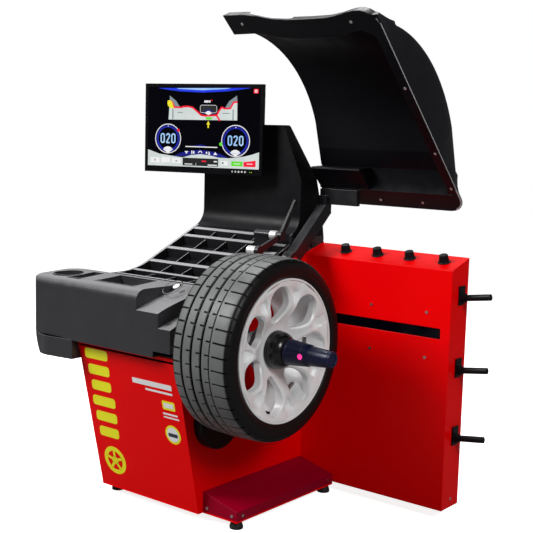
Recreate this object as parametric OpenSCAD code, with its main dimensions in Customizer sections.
// Wheel balancer with a lifting wheel guard, a weight tray, a swivelling monitor,
// a rear panel with storage pegs, and a wheel clamped on its shaft.
// Millimetres, +Z up. The shaft points along +X and the operator stands on the -Y side.
// The origin is the centre of the four floor feet, on the floor.

/* [Cabinet] */
// X of the cabinet's right side, where the shaft comes out
cabinet_right = 163; // [160:0.5:166]
// Width of the cabinet
cabinet_w = 490; // [480:1:495]
// Y of the cabinet's front edge at the bottom
cabinet_front_low = -308; // [-312:1:-304]
// Y of the cabinet's front edge at the top, so that the front leans out
cabinet_front_top = -435; // [-440:1:-425]
// Height at which the leaning front ends
front_top_z = 600; // [596:1:600]
// Y of the cabinet's back
cabinet_back = 397; // [394:1:400]
// Thickness of the cabinet's sheet steel
sheet = 3; // [2:0.5:3]

/* [Feet and base] */
// Spacing of the feet across the machine
feet_x = 592; // [580:1:600]
// Spacing of the feet from front to back
feet_y = 514; // [500:1:520]
// Height of a rubber foot
foot_h = 28; // [26:1:30]
// Radius of the anchor bolt hole through a foot
foot_hole_r = 6; // [5:0.5:7]
// Width of the foot step beside the cabinet
step_w = 158; // [150:1:160]

/* [Shaft and drive] */
// Y of the shaft
shaft_y = -205; // [-207:1:-203]
// Height of the shaft
shaft_z = 640; // [638:1:642]
// Radius of the threaded end that carries the wheel
thread_r = 20; // [18:0.5:20]
// Radius of the spindle inside its bearings
spindle_r = 30; // [28:0.5:30]
// Length of the shaft beyond the cabinet's side
shaft_out = 450; // [440:1:455]
// Radius of the large belt pulley
pulley_r = 75; // [70:1:80]
// Radius of the motor's belt pulley
motor_pulley_r = 25; // [22:1:28]
// Radial clearance of a running fit
running = 0.05; // [0.03:0.01:0.08]

/* [Wheel] */
// Distance from the cabinet's side to the wheel's inner side
wheel_gap = 48; // [46:1:50]
// Width of the tyre
tyre_w = 248; // [246:1:250]
// Radius of the tyre's tread
tyre_r = 314; // [310:1:314]
// Radius of the rim's lips
rim_lip_r = 246; // [244:0.5:246]
// Number of forked spokes
spokes = 7; // [5:1:9]

/* [Guard] */
// Y of the guard's hinge
hinge_y = 132; // [130:1:134]
// Height of the guard's hinge
hinge_z = 895; // [893:1:897]
// Outer radius of the guard's curved back
guard_r = 490; // [486:1:492]
// Thickness of the guard's moulding
guard_t = 5; // [4:0.5:5]
// Width of the guard
guard_w = 600; // [590:1:602]

/* [Rear panel] */
// Width of the rear panel box
panel_w = 632; // [628:1:636]
// Depth of the rear panel box
panel_d = 119; // [115:1:121]
// Height of the rear panel's front edge
panel_front_z = 903; // [900:1:905]
// Height of the rear panel's back edge
panel_back_z = 941; // [936:1:943]
// Rise of the storage pegs, in degrees
peg_rise = 8; // [5:1:10]

/* [Monitor] */
// Width of the monitor
monitor_w = 515; // [505:1:518]
// Height of the monitor
monitor_h = 345; // [338:1:348]
// Depth of the monitor's case
monitor_d = 42; // [38:1:44]
// Turn of the monitor towards the operator, in degrees
monitor_turn = 14.6; // [12:0.2:15]

/* [Hidden] */
$fn = 64;

// Places worked out from the driving dimensions
cabinet_left = cabinet_right - cabinet_w;
base_z = foot_h;
base_t = 6;
cabinet_z = base_z + base_t;
tray_seam = [[cabinet_front_top, front_top_z], [183, 881], [392, 944]];
step_right = cabinet_right + step_w;
step_front = -285;
step_top = [107, 67.6];
panel_front = 282;
panel_back = panel_front + panel_d;
panel_right = cabinet_right + panel_w;
panel_bottom = 37.5;
panel_sheet = 2.5;
guard_left = cabinet_right + 5;
guard_right = cabinet_right + guard_w + 5;
guard_c = [-143, 1224];
fascia_front = -463;
fascia_back = -278;
lobe_z = 530;
ear_left = cabinet_left - 222;
moulding = 4;
gap = 0.3;

// A box between two corners
module block(lo, hi) { translate(lo) cube(hi - lo); }
// An outline in Y and Z, drawn out along X
module along_x(x0, x1) { translate([x0, 0, 0]) rotate([90, 0, 90]) linear_extrude(x1 - x0) children(); }
// An outline in X and Z, drawn out along Y
module along_y(y0, y1) { translate([0, y1, 0]) rotate([90, 0, 0]) linear_extrude(y1 - y0) children(); }
// A round bar along X
module bar_x(x0, x1, y, z, r) { translate([x0, y, z]) rotate([0, 90, 0]) cylinder(h = x1 - x0, r = r); }
// A round bar along Y
module bar_y(y0, y1, x, z, r) { translate([x, y1, z]) rotate([90, 0, 0]) cylinder(h = y1 - y0, r = r); }
// A solid of revolution about the shaft's line; the outline's points are [radius, X]
module turned() { translate([0, shaft_y, shaft_z]) rotate([0, 90, 0]) rotate_extrude($fn = 96) children(); }
// A point on a circle
function on_circle(c, r, a) = [c[0] + r * cos(a), c[1] + r * sin(a)];
// Height of the line where the tray meets the cabinet's front stretch
function seam_h(y) = front_top_z + (y - cabinet_front_top) * (tray_seam[1][1] - front_top_z)
    / (tray_seam[1][0] - cabinet_front_top);
// Points of an arc from angle a0 to a1 in n steps
function arc(c, r, a0, a1, n) = [for (i = [0:n]) on_circle(c, r, a0 + (a1 - a0) * i / n)];

// ---- Base, feet and cabinet ----

module feet_places() {
    for (sx = [-1, 1], sy = [-1, 1]) translate([sx * feet_x / 2, sy * feet_y / 2, 0]) children();
}

module base_plate() {
    color("firebrick") difference() {
        union() {
            block([cabinet_left, cabinet_front_low, base_z], [cabinet_right, cabinet_back, cabinet_z]);
            block([cabinet_right - 1, step_front, base_z], [step_right, panel_front - gap, cabinet_z]);
        }
        feet_places() cylinder(h = 100, r = foot_hole_r);
    }
}

module rubber_feet() {
    foot_r = 24;
    color("black") feet_places() difference() {
        union() {
            cylinder(h = 8, r = foot_r);
            translate([0, 0, 8]) cylinder(h = foot_h - 8, r1 = foot_r, r2 = foot_r - 6);
        }
        translate([0, 0, -1]) cylinder(h = foot_h + 2, r = foot_hole_r);
    }
}

// Side view of the cabinet, shrunk by t at the front
module cabinet_outline(t) {
    polygon([[cabinet_front_low + t, cabinet_z - (t > 0 ? 1 : 0)], [cabinet_front_top + t, front_top_z],
             tray_seam[1], [cabinet_back + t, 945], [cabinet_back + t, cabinet_z - (t > 0 ? 1 : 0)]]);
}

module cabinet_body() {
    spindle_hole_r = 70;
    color("crimson") difference() {
        along_x(cabinet_left, cabinet_right) cabinet_outline(0);
        along_x(cabinet_left + sheet, cabinet_right - sheet) translate([0, 0.01]) cabinet_outline(sheet);
        // the top is open under the tray
        along_x(cabinet_left + sheet, cabinet_right - sheet)
            polygon([[cabinet_front_top + sheet, front_top_z - 20], [cabinet_front_top + sheet, 1000],
                     [cabinet_back + 1, 1000], [cabinet_back + 1, front_top_z - 20]]);
        bar_x(cabinet_right - 2 * sheet, cabinet_right + 1, shaft_y, shaft_z, spindle_hole_r);
    }
}

module cabinet_back_cover() {
    slots = 6;
    slot_pitch = 16;
    color("firebrick") difference() {
        block([cabinet_left + sheet + gap, cabinet_back - sheet, cabinet_z + 1],
              [cabinet_right - sheet - gap, cabinet_back, 930]);
        for (i = [0:slots - 1]) block([-200, cabinet_back - 10, 150 + i * slot_pitch],
                                      [36, cabinet_back + 1, 156 + i * slot_pitch]);
    }
}

// Screw heads of the back cover, the foot step and the rear panel
module cover_screws() {
    head_r = 5.5;
    head_h = 2.5;
    color("dimgray") {
        for (x = [cabinet_left + 20, cabinet_right - 20], z = [60, 480, 900])
            bar_y(cabinet_back, cabinet_back + head_h, x, z, head_r);
        for (x = [cabinet_right + 22, step_right - 22]) bar_y(step_front - head_h, step_front, x, 50, head_r);
        for (y = [step_front + 30, 250]) bar_x(step_right, step_right + head_h, y, 50, head_r);
        for (x = [468, 700], z = [584, 747]) bar_y(panel_front - head_h, panel_front, x, z, head_r);
        bar_x(panel_right, panel_right + head_h, panel_front + 60, 70, head_r);
    }
}

module foot_step() {
    color("crimson") difference() {
        along_y(step_front, panel_front - gap)
            polygon([[cabinet_right, cabinet_z], [cabinet_right, step_top[0]], [step_right, step_top[1]],
                     [step_right, cabinet_z]]);
        along_y(step_front + sheet, panel_front - gap - sheet)
            polygon([[cabinet_right + sheet, cabinet_z - 1], [cabinet_right + sheet, step_top[0] - sheet],
                     [step_right - sheet, step_top[1] - sheet], [step_right - sheet, cabinet_z - 1]]);
    }
}

// ---- Spindle and drive inside the cabinet ----

deck_z = 500;
housing_r = 68;
housing_x = [-150, 150];
bearing_r = 55;
bearing_w = 22;
pulley_x = [-212, -172];
motor_at = [-40, 340];

saddle_x = [-120, 70];
saddle_y = [shaft_y - 70, shaft_y + 70];

module spindle_deck() {
    color("gray") difference() {
        union() {
            block([cabinet_left + sheet + gap, -408, deck_z - 6], [cabinet_right - sheet - gap, 180, deck_z]);
            for (x = saddle_x) {
                block([x, saddle_y[0], deck_z - 1], [x + 40, saddle_y[1], shaft_z - 20]);
                block([x, saddle_y[0] - 47, deck_z - 1], [x + 40, saddle_y[0] - 25, shaft_z - 15]);
            }
        }
        bar_x(-300, 170, shaft_y, shaft_z, housing_r);
        // gap for the belt
        block([pulley_x[0] - 10, shaft_y - 110, deck_z - 10], [pulley_x[1] + 10, 60, deck_z + 1]);
    }
}

module spindle_housing() {
    color("darkgray") turned() difference() {
        translate([housing_r - 30, housing_x[0]]) square([30, housing_x[1] - housing_x[0]]);
        for (x = [housing_x[0] - 1, housing_x[1] - bearing_w])
            translate([0, x]) square([bearing_r, bearing_w + 1]);
    }
}

module spindle_bearings() {
    bore = spindle_r + running;
    color("silver") for (x = [housing_x[0], housing_x[1] - bearing_w])
        turned() translate([bore, x]) square([bearing_r - bore, bearing_w]);
}

// Force sensors between the saddles and the posts in front of them
module force_sensors() {
    color("gold") for (x = saddle_x) bar_y(saddle_y[0] - 25, saddle_y[0], x + 20, shaft_z - 40, 12);
}

module motor() {
    motor_r = 60;
    color("dimgray") {
        difference() {
            union() {
                bar_x(-150, 10, motor_at[0], motor_at[1], motor_r);
                block([-120, motor_at[0] - 50, motor_at[1]], [-20, motor_at[0] + 50, deck_z - 6]);
            }
            bar_x(-160, -60, motor_at[0], motor_at[1], 9 + running);
        }
    }
}

module belt_loop(extra) {
    a = [shaft_y, shaft_z];
    reach = norm(motor_at - a);
    tilt = atan2(motor_at[1] - a[1], motor_at[0] - a[0]);
    r0 = pulley_r + extra;
    r1 = motor_pulley_r + extra;
    lead = acos((r0 - r1) / reach);
    polygon(concat(arc(a, r0, tilt + lead, tilt + 360 - lead, 32), arc(motor_at, r1, tilt - lead, tilt + lead, 16)));
}

module drive_belt() {
    belt_t = 4;
    color("black") difference() {
        along_x(pulley_x[0] + 8, pulley_x[1] - 8) belt_loop(gap + belt_t);
        along_x(pulley_x[0], pulley_x[1]) belt_loop(gap);
    }
}

module encoder_sensor() {
    color("darkgreen") difference() {
        block([-262, shaft_y + 40, shaft_z - 15], [-232, shaft_y + 90, shaft_z + 15]);
        block([-252, shaft_y, shaft_z - 30], [-242, shaft_y + 70, shaft_z + 30]);
    }
}

module power_supply() { color("silver") block([-290, 150, cabinet_z], [-130, 330, 150]); }

module main_board() {
    board_y = cabinet_back - sheet - 22;
    color("darkgreen") {
        block([-180, board_y, 480], [100, board_y + 2, 700]);
        for (x = [-170, 90], z = [490, 690]) bar_y(board_y + 2, cabinet_back - sheet, x, z, 4);
        for (i = [0:3]) block([-150 + i * 60, board_y - 18, 560], [-115 + i * 60, board_y, 620]);
    }
}

switch_at = [cabinet_back + 5.5, 280];
module switch_rocker() {
    color("red") block([-280, switch_at[0] - 2.5, switch_at[1] - 13], [-262, switch_at[0] + 2.5, switch_at[1] + 13]);
}
// Mains inlet and the frame of the power switch beside it
module power_inlet() {
    color("black") difference() {
        block([-290, cabinet_back, 258], [-196, cabinet_back + 6, 302]);
        block([-234, cabinet_back + 1, 268], [-206, cabinet_back + 7, 292]);
        block([-282, cabinet_back - 1, switch_at[1] - 16], [-260, cabinet_back + 7, switch_at[1] + 16]);
    }
}

// Rounded cover on the cabinet's side, around the spindle and down over the lower sensor
module spindle_cover() {
    lower = [-238, 362];
    lower_r = 103;
    upper_r = 112;
    depth = 40;
    color("black") difference() {
        along_x(cabinet_right, cabinet_right + depth) union() {
            translate([shaft_y, shaft_z]) circle(upper_r, $fn = 96);
            translate(lower) circle(lower_r, $fn = 96);
            polygon([[shaft_y - upper_r, shaft_z], [lower[0] - lower_r, lower[1]],
                     [lower[0] + lower_r, lower[1]], [shaft_y + upper_r, shaft_z]]);
        }
        bar_x(cabinet_right - 1, cabinet_right + depth + 1, shaft_y, shaft_z, 66);
        along_x(cabinet_right - 1, cabinet_right + depth - moulding) translate(lower) circle(lower_r - 20);
    }
}

module spindle_shaft() {
    nose_x = cabinet_right + wheel_gap + 160;
    color("silver") union() {
        bar_x(-226, nose_x, shaft_y, shaft_z, spindle_r);
        bar_x(nose_x - 1, cabinet_right + shaft_out, shaft_y, shaft_z, thread_r);
        bar_x(-250, -225, shaft_y, shaft_z, 12);
    }
}

flange_x = [cabinet_right + 140, cabinet_right + wheel_gap + 168.7];
module backing_flange() {
    color("gray") turned() polygon([[spindle_r, flange_x[0]], [48, flange_x[0]], [52, flange_x[0] + 40],
                                    [85, flange_x[1] - 22], [85, flange_x[1]], [thread_r, flange_x[1]],
                                    [thread_r, flange_x[1] - 8.6], [spindle_r, flange_x[1] - 8.7]]);
}

// Cone that centres the wheel's hub bore on the shaft
module centring_cone() {
    x0 = flange_x[1];
    color("silver") turned() polygon([[thread_r, x0], [34.5, x0], [34.5, x0 + 8], [24, x0 + 22], [thread_r, x0 + 22]]);
}

module spindle_pulley() {
    color("dimgray") turned() translate([spindle_r, pulley_x[0]]) square([pulley_r - spindle_r, pulley_x[1] - pulley_x[0]]);
}

module encoder_disc() {
    disc_r = 62;
    marks = 24;
    color("silver") difference() {
        bar_x(-248, -246, shaft_y, shaft_z, disc_r);
        bar_x(-260, -240, shaft_y, shaft_z, 12);
        for (i = [0:marks - 1]) translate([0, shaft_y, shaft_z]) rotate([i * 360 / marks, 0, 0])
            block([-250, disc_r - 8, -2], [-244, disc_r - 3, 2]);
    }
}

module motor_pulley() {
    color("silver") {
        bar_x(pulley_x[0], pulley_x[1], motor_at[0], motor_at[1], motor_pulley_r);
        bar_x(pulley_x[1] - 1, -62, motor_at[0], motor_at[1], 9);
    }
}

// ---- Weight tray ----

bed_start = fascia_back + 45;
bed_bend_r = 350;
bed_slope = 24.2;
bed_flat_z = 831;
column_front = 232;
column_bend = 70;
// where the bed meets the curve at the column's foot
bed_end_y = column_front - column_bend * (1 - sin(bed_slope));
// Height of the tray's rib tops: flat at the front, an arc, then a straight slope
function bed_z(y) = let (t = y - bed_start, bend = bed_bend_r * sin(bed_slope))
    t <= 0 ? bed_flat_z
    : t <= bend ? bed_flat_z + bed_bend_r - sqrt(bed_bend_r * bed_bend_r - t * t)
    : bed_flat_z + bed_bend_r * (1 - cos(bed_slope)) + (t - bend) * tan(bed_slope);
cutout_x = cabinet_right - 120;
cutout_y = [-50, 176];
seam_z = 968;
bed_ys = concat([fascia_back], [for (i = [0:8]) bed_start + i * 18], [cutout_y[0], cutout_y[1], bed_end_y]);
row_y = [-254, -168, -82, 14, 108, 165];
rib_w = 16;
pocket_depth = 34;
divider_x = [for (i = [0:3]) cabinet_left + 133 + i * 105];
tray_in = [cabinet_left + 14, cabinet_right - 14];

// The tray's section from the rib tops down by d0 to d1
module bed_band(d0, d1) {
    polygon(concat([for (y = bed_ys) [y, bed_z(y) - d0]],
                   [for (i = [len(bed_ys) - 1:-1:0]) [bed_ys[i], bed_z(bed_ys[i]) - d1]]));
}
// Room for the gauge at the tray's right edge
module gauge_room() {
    along_x(cutout_x, cabinet_right + 1)
        polygon([for (p = [[0, 1 - pocket_depth], [1, 1 - pocket_depth], [1, 90], [0, 90]])
                 [cutout_y[p[0]], bed_z(cutout_y[p[0]]) + p[1]]]);
}

module tray_bed() {
    color("dimgray") union() {
        along_x(cabinet_left + moulding, cabinet_right - moulding) bed_band(pocket_depth, pocket_depth + moulding);
        // plain strip at the top
        along_x(cabinet_left + moulding, cabinet_right - moulding) intersection() {
            bed_band(0, pocket_depth + moulding);
            translate([cutout_y[1], 0]) square([100, 2000]);
        }
        // borders along both sides, level with the ribs
        along_x(cabinet_left + moulding, tray_in[0]) bed_band(0, pocket_depth + moulding);
        difference() {
            along_x(tray_in[1], cabinet_right - moulding) bed_band(0, pocket_depth + moulding);
            gauge_room();
        }
    }
}

module tray_row_ribs() {
    color("silver") difference() {
        for (y = row_y) along_x(tray_in[0] + gap, tray_in[1] - gap)
            polygon([[y - rib_w / 2, bed_z(y - rib_w / 2) - pocket_depth + gap],
                     [y + rib_w / 2, bed_z(y + rib_w / 2) - pocket_depth + gap],
                     [y + rib_w / 2, bed_z(y + rib_w / 2)], [y - rib_w / 2, bed_z(y - rib_w / 2)]]);
        gauge_room();
    }
}

module tray_dividers() {
    low = 5;
    color("dimgray") difference() {
        for (r = [0:len(row_y) - 2], x = divider_x) along_x(x - 1.5, x + 1.5)
            polygon([[row_y[r] + rib_w / 2 + gap, bed_z(row_y[r] + rib_w / 2) - pocket_depth + 4],
                     [row_y[r + 1] - rib_w / 2 - gap, bed_z(row_y[r + 1] - rib_w / 2) - pocket_depth + 4],
                     [row_y[r + 1] - rib_w / 2 - gap, bed_z(row_y[r + 1] - rib_w / 2) - low],
                     [row_y[r] + rib_w / 2 + gap, bed_z(row_y[r] + rib_w / 2) - low]]);
        gauge_room();
    }
}

// Outline of the fascia's section, inset by t; the top front corner has radius r
module fascia_section(t) {
    r = 40 - t;
    c = [fascia_front + 40, 782];
    polygon(concat([[fascia_front + t, front_top_z + t], [fascia_front + t, c[1]]], arc(c, r, 180, 98, 8),
                   [[fascia_back + (t > 0 ? 1 : 0), bed_flat_z - t],
                    [fascia_back + (t > 0 ? 1 : 0), front_top_z + t]]));
}
// Plan of the ear, inset by t: a small corner in front, a large one behind
module ear_plan(t) {
    front_r = 30;
    back_r = 100;
    hull() {
        translate([ear_left + front_r, fascia_front + front_r]) circle(front_r - t, $fn = 64);
        translate([ear_left + back_r, fascia_back - back_r]) circle(back_r - t, $fn = 96);
        translate([cabinet_left, fascia_front + t]) square([1, fascia_back - fascia_front - 2 * t]);
    }
}
// Front view of the ear, inset by t: rounded over the top and drawn in towards its foot
module ear_front(t) {
    side = [[51, lobe_z], [40, 545], [32, 558], [20, 590], [11, 628], [4, 670], [0, 715], [0, 790], [3, 808], [11, 822],
            [24, 831], [30, 840]];
    polygon(concat([[cabinet_left + 1, 900], [cabinet_left + 1, lobe_z + t]],
                   [for (p = side) [ear_left + p[0] + t, max(p[1], lobe_z + t)]], [[ear_left + 30 + t, 900]]));
}
// The ear's whole shape, inset by t
module ear(t) {
    intersection() {
        translate([0, 0, 500]) linear_extrude(400) ear_plan(t);
        along_y(-500, -200) ear_front(t);
    }
}
shelf_z = [752, 702];
shelf_x = [cabinet_right - 163, cabinet_right - 58];
shelf_rise = 0.56;
shelf_sweep = 48;
// X of a shelf's curved left wall at a depth of y, from 0 at the front to 1 at the back
function shelf_wall(i, y) = shelf_x[i] + shelf_sweep * (1 - cos(180 * y)) / 2;
// The two scooped shelves at the tray's right front, lowered by t
module shelves(t) {
    depth = fascia_back + 2 - fascia_front;
    for (i = [0, 1]) intersection() {
        along_x(shelf_x[i] - t, cabinet_right + 1)
            polygon([[fascia_front - 1, shelf_z[i] - t], [fascia_back + 2, shelf_z[i] - t + shelf_rise * 142],
                     [fascia_back + 2, 900], [fascia_front - 1, 900]]);
        translate([0, 0, 600]) linear_extrude(400)
            polygon(concat([[cabinet_right + 2, fascia_front - 2], [shelf_x[i] - t, fascia_front - 2]],
                           [for (y = [0:0.1:1]) [shelf_wall(i, y) - t, fascia_front + y * depth]],
                           [[cabinet_right + 2, fascia_front + depth + 2]]));
    }
}
cup_at = [ear_left + 100, -372];

module tray_fascia() {
    cup_r = 55;
    color("dimgray") difference() {
        union() {
            difference() {
                union() {
                    intersection() {
                        along_x(ear_left - 1, cabinet_right) fascia_section(0);
                        union() {
                            ear(0);
                            block([cabinet_left, -500, 500], [cabinet_right, -200, 900]);
                        }
                    }
                    intersection() {
                        ear(0);
                        block([ear_left - 1, -500, lobe_z], [cabinet_left - gap, -200, front_top_z + 1]);
                    }
                }
                intersection() {
                    along_x(ear_left, cabinet_right - moulding) fascia_section(moulding);
                    union() {
                        ear(moulding);
                        block([cabinet_left, -500, 500], [cabinet_right - moulding, -200, 900]);
                    }
                    difference() {
                        block([ear_left, -500, 500], [cabinet_right, -200, 900]);
                        shelves(moulding);
                    }
                }
                intersection() {
                    ear(moulding);
                    block([ear_left, -500, lobe_z], [cabinet_left - moulding, -200, front_top_z + moulding]);
                }
                shelves(0);
            }
            // wall of the round cup and of the pocket beside it
            translate([cup_at[0], cup_at[1], 760]) cylinder(h = 66, r = cup_r + moulding);
            block([cabinet_left - 62, -432, 780], [cabinet_left + 2, -300, 824]);
            // long pocket behind the rounded front
            block([cabinet_left + 70, -420, 785], [shelf_x[0] - 60, -290, 824]);
        }
        translate([cup_at[0], cup_at[1], 764]) cylinder(h = 100, r = cup_r);
        block([cabinet_left - 58, -428, 784], [cabinet_left - 2, -304, 900]);
        block([cabinet_left + 74, -416, 789], [shelf_x[0] - 64, -294, 900]);
        // clear of the cabinet's front and sides
        along_x(cabinet_left - gap, cabinet_right + 1)
            polygon([[cabinet_front_top - gap, 500], [cabinet_front_top - gap, front_top_z + gap],
                     [fascia_back + 2, seam_h(fascia_back + 2) + gap], [fascia_back + 2, 500]]);
        // notch at the lower right corner
        block([cabinet_right - 80, fascia_front - 1, 500], [cabinet_right + 1, cabinet_front_top + 4, 622]);
    }
}

module tray_skirts() {
    color("dimgray") difference() {
        for (x = [cabinet_left, cabinet_right - moulding + gap]) along_x(x, x + moulding - gap)
            polygon(concat([for (y = bed_ys) [y + gap, bed_z(y)]], [[bed_end_y + gap, seam_z - gap], [392, seam_z - gap]],
                           [tray_seam[2] + [0, gap], tray_seam[1] + [0, gap],
                            [fascia_back + gap, seam_h(fascia_back) + gap]]));
        bar_x(cabinet_right - 20, cabinet_right + 1, hinge_y, hinge_z, 30);
        gauge_room();
    }
}

// ---- Column and monitor ----

column_back = [[392, seam_z], [373, 1070], [335, 1192], [272, 1386]];
column_top = 1392;
// Side view of the column, inset by t; a curve joins its front to the tray's bed
module column_side(t) {
    bend_z = bed_z(bed_end_y) + column_bend * cos(bed_slope);
    polygon(concat([[bed_end_y + gap + t, seam_z - t]],
                   arc([column_front - column_bend + gap + t, bend_z], column_bend, bed_slope - 90, 0, 8),
                   [[column_front + t, column_top - t], [t > 0 ? 276 : 266, column_top - t]],
                   [for (i = [3:-1:0]) column_back[i] + [t, i > 0 ? 0 : -t]]));
}
// Front view of the column, inset by t: the top tapers in
module column_face(t) {
    taper = 86;
    polygon([[cabinet_left + t, 900], [cabinet_left + t, 1190], [cabinet_left + taper + t, column_top - t],
             [cabinet_right - taper - t, column_top - t], [cabinet_right - t, 1190], [cabinet_right - t, 900]]);
}

module column_shell() {
    color([0.1, 0.1, 0.1]) difference() {
        intersection() {
            along_x(cabinet_left, cabinet_right) column_side(0);
            along_y(100, 500) column_face(0);
        }
        intersection() {
            along_x(cabinet_left, cabinet_right) column_side(moulding);
            along_y(100, 500) column_face(moulding);
        }
    }
}

module column_back_cover() {
    t = 3;
    inset = moulding + 1;
    color("black") difference() {
        intersection() {
            along_x(cabinet_left, cabinet_right)
                polygon(concat(column_back, [for (i = [3:-1:0]) column_back[i] - [t, 0]]));
            along_y(100, 500) column_face(inset);
        }
        for (i = [0:5]) block([-180, 200, 1080 + i * 14], [20, 500, 1086 + i * 14]);
    }
}

module control_computer() { color("silver") block([-200, 262, 1010], [40, 330, 1180]); }

monitor_at = [-227, 107, 1370];
swivel_y = 196;
tilt_back = 58;
// Places the monitor's own frame: X along the screen, -Y out of it
module monitor_frame() { translate(monitor_at) rotate([0, 0, monitor_turn]) children(); }

module monitor_bracket() {
    x = monitor_at[0];
    color("dimgray") difference() {
        union() {
            block([x - 45, column_front - 8, 1290], [x + 45, column_front, 1375]);
            for (z = [1300, 1352]) {
                block([x - 16, swivel_y, z], [x + 16, column_front - 7, z + 10]);
                translate([x, swivel_y, z]) cylinder(h = 10, r = 16);
            }
        }
        translate([x, swivel_y, 1280]) cylinder(h = 100, r = 6 + running);
    }
}

module monitor_yoke() {
    x = monitor_at[0];
    color("gray") {
        translate([x, swivel_y, 1296]) cylinder(h = 70, r = 6);
        translate([x, swivel_y, 1310 + gap]) cylinder(h = 42 - 2 * gap, r = 12);
        monitor_frame() {
            block([-12, tilt_back - 8, -58], [12, tilt_back + 16, -20]);
            block([-12, tilt_back + 14, -58], [30, tilt_back + 28, -20]);
            translate([-38, tilt_back, -39]) rotate([0, 90, 0]) cylinder(h = 76, r = 6);
        }
    }
}

// Case of the monitor with its bezel, hollow in front for the screen
module monitor_case() {
    w = monitor_w / 2;
    h = monitor_h / 2;
    border = 14;
    chin = 24;
    color("black") monitor_frame() difference() {
        union() {
            block([-w, 0, -h], [w, 16, h]);
            block([-w + 20, 15, -h + 20], [w - 20, 30, h - 20]);
            block([-150, 29, -110], [150, monitor_d, 80]);
            for (x = [-34, 22]) block([x, monitor_d - 1, -50], [x + 12, tilt_back + 10, -28]);
        }
        translate([-60, tilt_back, -39]) rotate([0, 90, 0]) cylinder(h = 120, r = 6 + running);
        block([-w + border, -1, -h + chin], [w - border, 6, h - border]);
    }
}

module screen_glass() {
    w = monitor_w / 2 - 14;
    color([0.05, 0.05, 0.1]) monitor_frame()
        block([-w, 1, -monitor_h / 2 + 24], [w, 6, monitor_h / 2 - 14]);
}

// ---- Guard ----

arm_w = 40;
arm_x = [cabinet_right + 20, cabinet_right + 60];
elbow = [338, 1082];
hood_back = [374, 1237];
hood_rim = [355, 1160];
flange_low = [418, 1097];

// Side view of the hood's wall, a closed segment between its rim and its curved back
module hood_side() {
    polygon(concat([[-236, 1748]], arc(guard_c, guard_r, 96, 20, 24), [hood_back, hood_rim]));
}
module hood_strip() {
    polygon(concat(arc(guard_c, guard_r, 96, 20, 24), [hood_back, hood_rim, hood_rim - [guard_t, 0]],
                   [hood_back - [guard_t, 0]], arc(guard_c, guard_r - guard_t, 20, 96, 24)));
}

module guard_hood() {
    lip = [[-236, 1748], [-176, 1690], [-140, 1704], [-72, 1704], [-90, 1728], [-131, 1742], [-205, 1761]];
    color([0.08, 0.08, 0.08]) union() {
        along_x(guard_left, guard_right) hood_strip();
        along_x(guard_left, guard_right) polygon(lip);
        along_x(guard_right - guard_t, guard_right) hood_side();
        // rim flange along the right side and the bottom
        along_x(guard_right - 32, guard_right)
            polygon([[-182, 1696], hood_rim, hood_rim + [4, 4], [-178, 1700]]);
        along_x(guard_left + 140, guard_right)
            polygon([hood_rim - [5, -1], flange_low, flange_low + [4, 4], hood_rim + [0, 8]]);
        along_x(guard_left, guard_left + 141)
            polygon([hood_rim - [5, -1], hood_rim + [15, -15], hood_rim + [19, -11], hood_rim + [0, 8]]);
    }
}

// Pale grip pad on the hood's front lip
module guard_grip() {
    color("lightgray") along_x(cabinet_right + 107, cabinet_right + 266)
        polygon([[-236.3, 1748.2], [-205.2, 1761.2], [-210, 1768], [-243, 1752]]);
}

module guard_arm() {
    dir = (elbow - [hinge_y, hinge_z]) / norm(elbow - [hinge_y, hinge_z]);
    side = [-dir[1], dir[0]] * 24;
    hub_r = 34;
    color("black") difference() {
        union() {
            along_x(arm_x[0], arm_x[1])
                polygon([[hinge_y, hinge_z] + side, elbow + side, elbow - side, [hinge_y, hinge_z] - side]);
            bar_x(arm_x[0], arm_x[1], hinge_y, hinge_z, hub_r);
            // cross piece bolted to the hood
            block([arm_x[0], 330, 1097], [cabinet_right + 190, 352, 1156]);
            block([arm_x[0], 316, 1060], [arm_x[1], 352, 1130]);
        }
        bar_x(arm_x[0] - 1, arm_x[1] + 1, hinge_y, hinge_z, 15);
    }
}

module guard_shaft() { color("silver") bar_x(-40, arm_x[1], hinge_y, hinge_z, 15); }

module guard_bearings() {
    color("gray") for (x = [-20, 90]) difference() {
        block([x, hinge_y - 18, hinge_z - 60], [x + 36, hinge_y + 30, hinge_z + 19]);
        bar_x(x - 1, x + 37, hinge_y, hinge_z, 15 + running);
    }
}

module guard_stop() {
    color("black") block([cabinet_right, hinge_y + 104, hinge_z + 42], [arm_x[1], hinge_y + 130, hinge_z + 61]);
}

// ---- Rear panel ----

window_x = [263, 757];
window_z = [657, 694];
rail_at = [335, 620];

module panel_outline(t) {
    polygon([[panel_front + t, panel_bottom + t], [panel_front + t, panel_front_z - t],
             [panel_back + t, panel_back_z - t], [panel_back + t, panel_bottom + t]]);
}
module panel_box() {
    color("crimson") difference() {
        along_x(cabinet_right + gap, panel_right) panel_outline(0);
        along_x(cabinet_right + gap + panel_sheet, panel_right - panel_sheet) panel_outline(panel_sheet);
        block([window_x[0], panel_front - 1, window_z[0]], [window_x[1], panel_front + 9, window_z[1]]);
    }
}
module panel_back_cover() {
    color("firebrick") block([cabinet_right + 2 * panel_sheet, panel_back - panel_sheet, panel_bottom + 2 * panel_sheet],
                             [panel_right - 2 * panel_sheet, panel_back, panel_front_z + 30]);
}
module scanner_window() {
    color([0.03, 0.03, 0.04]) block([window_x[0] + gap, panel_front + 0.5, window_z[0] + gap],
                                    [window_x[1] - gap, panel_front + 3.5, window_z[1] - gap]);
}
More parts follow.
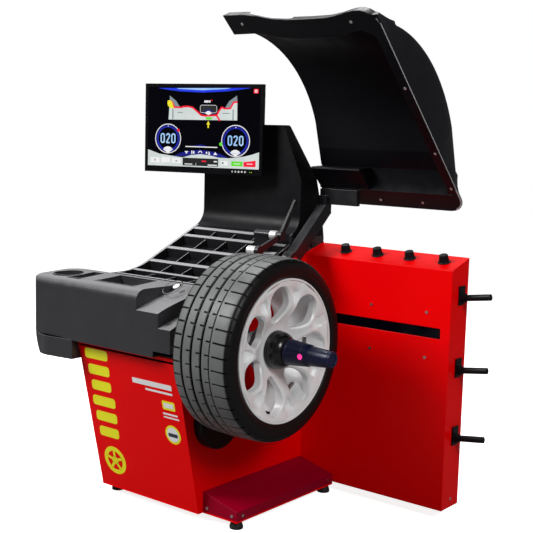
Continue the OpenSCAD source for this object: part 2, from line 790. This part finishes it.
module scanner_rail() {
    rod_r = 8;
    color("silver") {
        bar_x(window_x[0] - 20, window_x[1] + 20, rail_at[0], rail_at[1], rod_r);
        for (x = [window_x[0] - 26, window_x[1] + 10])
            block([x, rail_at[0] - 20, rail_at[1] - 30], [x + 16, panel_back - panel_sheet, rail_at[1] + 30]);
    }
}
module scanner_carriage() {
    x = window_x[0] + 20;
    color("dimgray") difference() {
        block([x, panel_front + 14, rail_at[1] - 22], [x + 60, rail_at[0] + 24, window_z[1] - 2]);
        bar_x(x - 1, x + 61, rail_at[0], rail_at[1], 8 + running);
        bar_y(panel_front + 10, panel_front + 30, x + 30, 672, 10);
    }
}

// Tapered posts on top, square to the sloping lid
module top_pegs() {
    lid = atan2(panel_back_z - panel_front_z, panel_d);
    peg_h = 30;
    color("black") for (x = [306, 448, 586, 727])
        translate([x, panel_front + 60, panel_front_z + 60 * tan(lid)]) rotate([lid, 0, 0]) union() {
            cylinder(h = 4, r = 23);
            translate([0, 0, 4]) cylinder(h = peg_h - 4, r1 = 19, r2 = 15.5);
        }
}

peg_z = [294, 542, 802];
peg_r = 11.5;
module side_pegs() {
    peg_y = panel_front + 69;
    peg_len = 112;
    color("black") for (z = peg_z) {
        block([panel_right, peg_y - 20, z - 24], [panel_right + 6, peg_y + 20, z + 43]);
        translate([panel_right + 5, peg_y, z]) rotate([0, 90 - peg_rise, 0]) {
            cylinder(h = 14, r = 16);
            cylinder(h = peg_len, r = peg_r);
        }
    }
}

// ---- Inner gauge on the tray's right edge ----

gauge_at = [112, 985];
gauge_rod_r = 8;
tip_at = [-20, 938];
module gauge_bush() {
    color("black") difference() {
        union() {
            bar_x(cutout_x + 8, cabinet_right - 42, gauge_at[0], gauge_at[1], 16);
            block([cutout_x + 10, gauge_at[0] - 14, bed_z(gauge_at[0] + 14) - pocket_depth + gap],
                  [cabinet_right - 46, gauge_at[0] + 14, gauge_at[1]]);
        }
        bar_x(cutout_x, cabinet_right, gauge_at[0], gauge_at[1], gauge_rod_r + running);
    }
}
module gauge_rod() {
    color("silver") {
        bar_x(cutout_x + 12, cabinet_right + 12, gauge_at[0], gauge_at[1], gauge_rod_r);
        bar_x(cabinet_right - 40, cabinet_right - 10, gauge_at[0], gauge_at[1], 17);
    }
}
module gauge_arm() {
    lever = [198, 1111];
    arm_t = 10;
    x = cabinet_right + 1;
    color("black") difference() {
        union() {
            // link to the tip, and the tip's cap
            along_x(x, x + arm_t) polygon([gauge_at + [0, -12], tip_at + [0, -12], tip_at + [0, 12],
                                           gauge_at + [0, 12]]);
            bar_x(x, x + 16, tip_at[0], tip_at[1], 19);
            // hub and lever
            bar_x(x, x + 16, gauge_at[0], gauge_at[1], 19);
            along_x(x, x + arm_t) polygon([gauge_at + [-12, 0], gauge_at + [12, 0], lever + [9, -5],
                                           lever + [-9, 5]]);
        }
        bar_x(x - 1, cabinet_right + 12 + 1, gauge_at[0], gauge_at[1], gauge_rod_r + running);
    }
}

// Bright sleeve that touches the rim
module gauge_tip() { color("silver") bar_x(cabinet_right - 38, cabinet_right + 1, tip_at[0], tip_at[1], 17); }

// ---- Wheel and quick nut ----

wheel_x = [cabinet_right + wheel_gap, cabinet_right + wheel_gap + tyre_w];
wheel_mid = (wheel_x[0] + wheel_x[1]) / 2;
half = tyre_w / 2;
bead_r = 228.6;
hub_face = flange_x[1] + 0.3;
hub_t = 25;

// Half of a tyre's section from the bead to the crown; s is the side
function tyre_outer(s) = [[bead_r, wheel_mid + s * 108], [rim_lip_r + gap, wheel_mid + s * 112],
    [262, wheel_mid + s * (half - 1)], [282, wheel_mid + s * half], [300, wheel_mid + s * (half - 5)],
    [308, wheel_mid + s * (half - 18)], [tyre_r - 2, wheel_mid + s * 70]];
function tyre_inner(s) = [[bead_r, wheel_mid + s * 88], [250, wheel_mid + s * 100],
    [278, wheel_mid + s * 112], [294, wheel_mid + s * 102], [tyre_r - 14, wheel_mid + s * 70]];
function reversed(p) = [for (i = [len(p) - 1:-1:0]) p[i]];

module tyre() {
    color([0.12, 0.12, 0.12]) turned() polygon(concat(tyre_outer(1), [[tyre_r, wheel_mid]], reversed(tyre_outer(-1)),
        tyre_inner(-1), [[tyre_r - 12, wheel_mid]], reversed(tyre_inner(1))));
}

// One forked spoke pointing up, as an outline in Y and Z about the shaft
module spoke_outline() {
    polygon([[-16, 50], [16, 50], [13, 128], [50, 221], [32, 224], [0, 150], [-32, 224], [-50, 221], [-13, 128]]);
}

module rim() {
    lip_x = [wheel_mid - 121, wheel_mid + 121];
    drop_r = 205;
    barrel_t = 5;
    color("silver") union() {
        // barrel with its lips, bead seats and drop centre
        turned() polygon([[rim_lip_r, lip_x[0]], [rim_lip_r, lip_x[0] + 8], [bead_r - gap, lip_x[0] + 12],
            [bead_r - gap, lip_x[0] + 48], [drop_r, lip_x[0] + 62], [drop_r, lip_x[0] + 110],
            [bead_r - gap, lip_x[1] - 48], [bead_r - gap, lip_x[1] - 12], [rim_lip_r, lip_x[1] - 8],
            [rim_lip_r, lip_x[1]], [rim_lip_r - 6, lip_x[1]], [bead_r - barrel_t - 5, lip_x[1] - 12],
            [bead_r - barrel_t - 3, lip_x[1] - 48], [drop_r - barrel_t, lip_x[0] + 112],
            [drop_r - barrel_t, lip_x[0] + 60], [bead_r - barrel_t - 3, lip_x[0] + 46],
            [bead_r - barrel_t - 5, lip_x[0] + 12], [rim_lip_r - 6, lip_x[0]]]);
        // hub and spokes
        difference() {
            union() {
                bar_x(hub_face, hub_face + hub_t, shaft_y, shaft_z, 80);
                translate([0, shaft_y, shaft_z]) for (i = [0:spokes - 1]) rotate([i * 360 / spokes + 35, 0, 0])
                    along_x(hub_face + 4, lip_x[1] - 14) spoke_outline();
            }
            bar_x(hub_face - 1, hub_face + 120, shaft_y, shaft_z, 36);
            // dish between hub and rim
            translate([0, shaft_y, shaft_z]) rotate([0, 90, 0])
                translate([0, 0, hub_face + hub_t]) cylinder(h = 50, r1 = 72, r2 = 190);
        }
    }
}

module valve() {
    color("black") translate([0, shaft_y, shaft_z]) rotate([157, 0, 0])
        bar_x(wheel_mid + 92, wheel_mid + 118, 0, 212, 4.5);
}

module balance_weights() {
    color("white") translate([0, shaft_y, shaft_z]) for (a = [217, 268]) rotate([a, 0, 0])
        block([wheel_mid + 40, -22, 190], [wheel_mid + 58, 22, 194]);
}

nut_x = hub_face + hub_t + 0.5;
nut_end = cabinet_right + 480;
button_x = cabinet_right + 374;
module nut_cup() {
    bore = thread_r + running;
    color("black") turned() polygon([[bore, nut_x + 6], [40, nut_x + 6], [50, nut_x], [65, nut_x], [65, nut_x + 20],
        [58, nut_x + 44], [42, nut_x + 62], [26, nut_x + 62], [26, nut_end - 40], [bore, nut_end - 40]]);
}
module nut_grip() {
    x0 = nut_x + 62 + gap;
    color([0.1, 0.12, 0.25]) difference() {
        turned() polygon([[26 + gap, x0], [44, x0], [37, cabinet_right + 390], [33, cabinet_right + 398],
                          [28, nut_end - 8], [26.5, nut_end], [0, nut_end], [0, nut_end - 8],
                          [26 + gap, nut_end - 8]]);
        translate([button_x, shaft_y, shaft_z]) rotate([90, 0, 0]) cylinder(h = 60, r = 11);
    }
}
module nut_button() {
    color("hotpink") translate([button_x, shaft_y - 31.5, shaft_z]) rotate([90, 0, 0])
        cylinder(h = 9.5, r = 10.6);
}

base_plate();
rubber_feet();
cabinet_body();
cabinet_back_cover();
cover_screws();
foot_step();
spindle_deck();
spindle_housing();
spindle_bearings();
force_sensors();
motor();
drive_belt();
encoder_sensor();
power_supply();
main_board();
power_inlet();
spindle_cover();
tray_fascia();
tray_bed();
tray_row_ribs();
tray_dividers();
tray_skirts();
column_shell();
column_back_cover();
control_computer();
guard_bearings();
guard_stop();
monitor_bracket();
panel_box();
panel_back_cover();
scanner_window();
scanner_rail();
top_pegs();
side_pegs();
gauge_bush();
spindle_shaft();
backing_flange();
centring_cone();
spindle_pulley();
encoder_disc();
motor_pulley();
switch_rocker();
tyre();
rim();
valve();
balance_weights();
nut_cup();
nut_grip();
nut_button();
guard_hood();
guard_grip();
guard_arm();
guard_shaft();
monitor_yoke();
monitor_case();
screen_glass();
gauge_rod();
gauge_arm();
gauge_tip();
scanner_carriage();
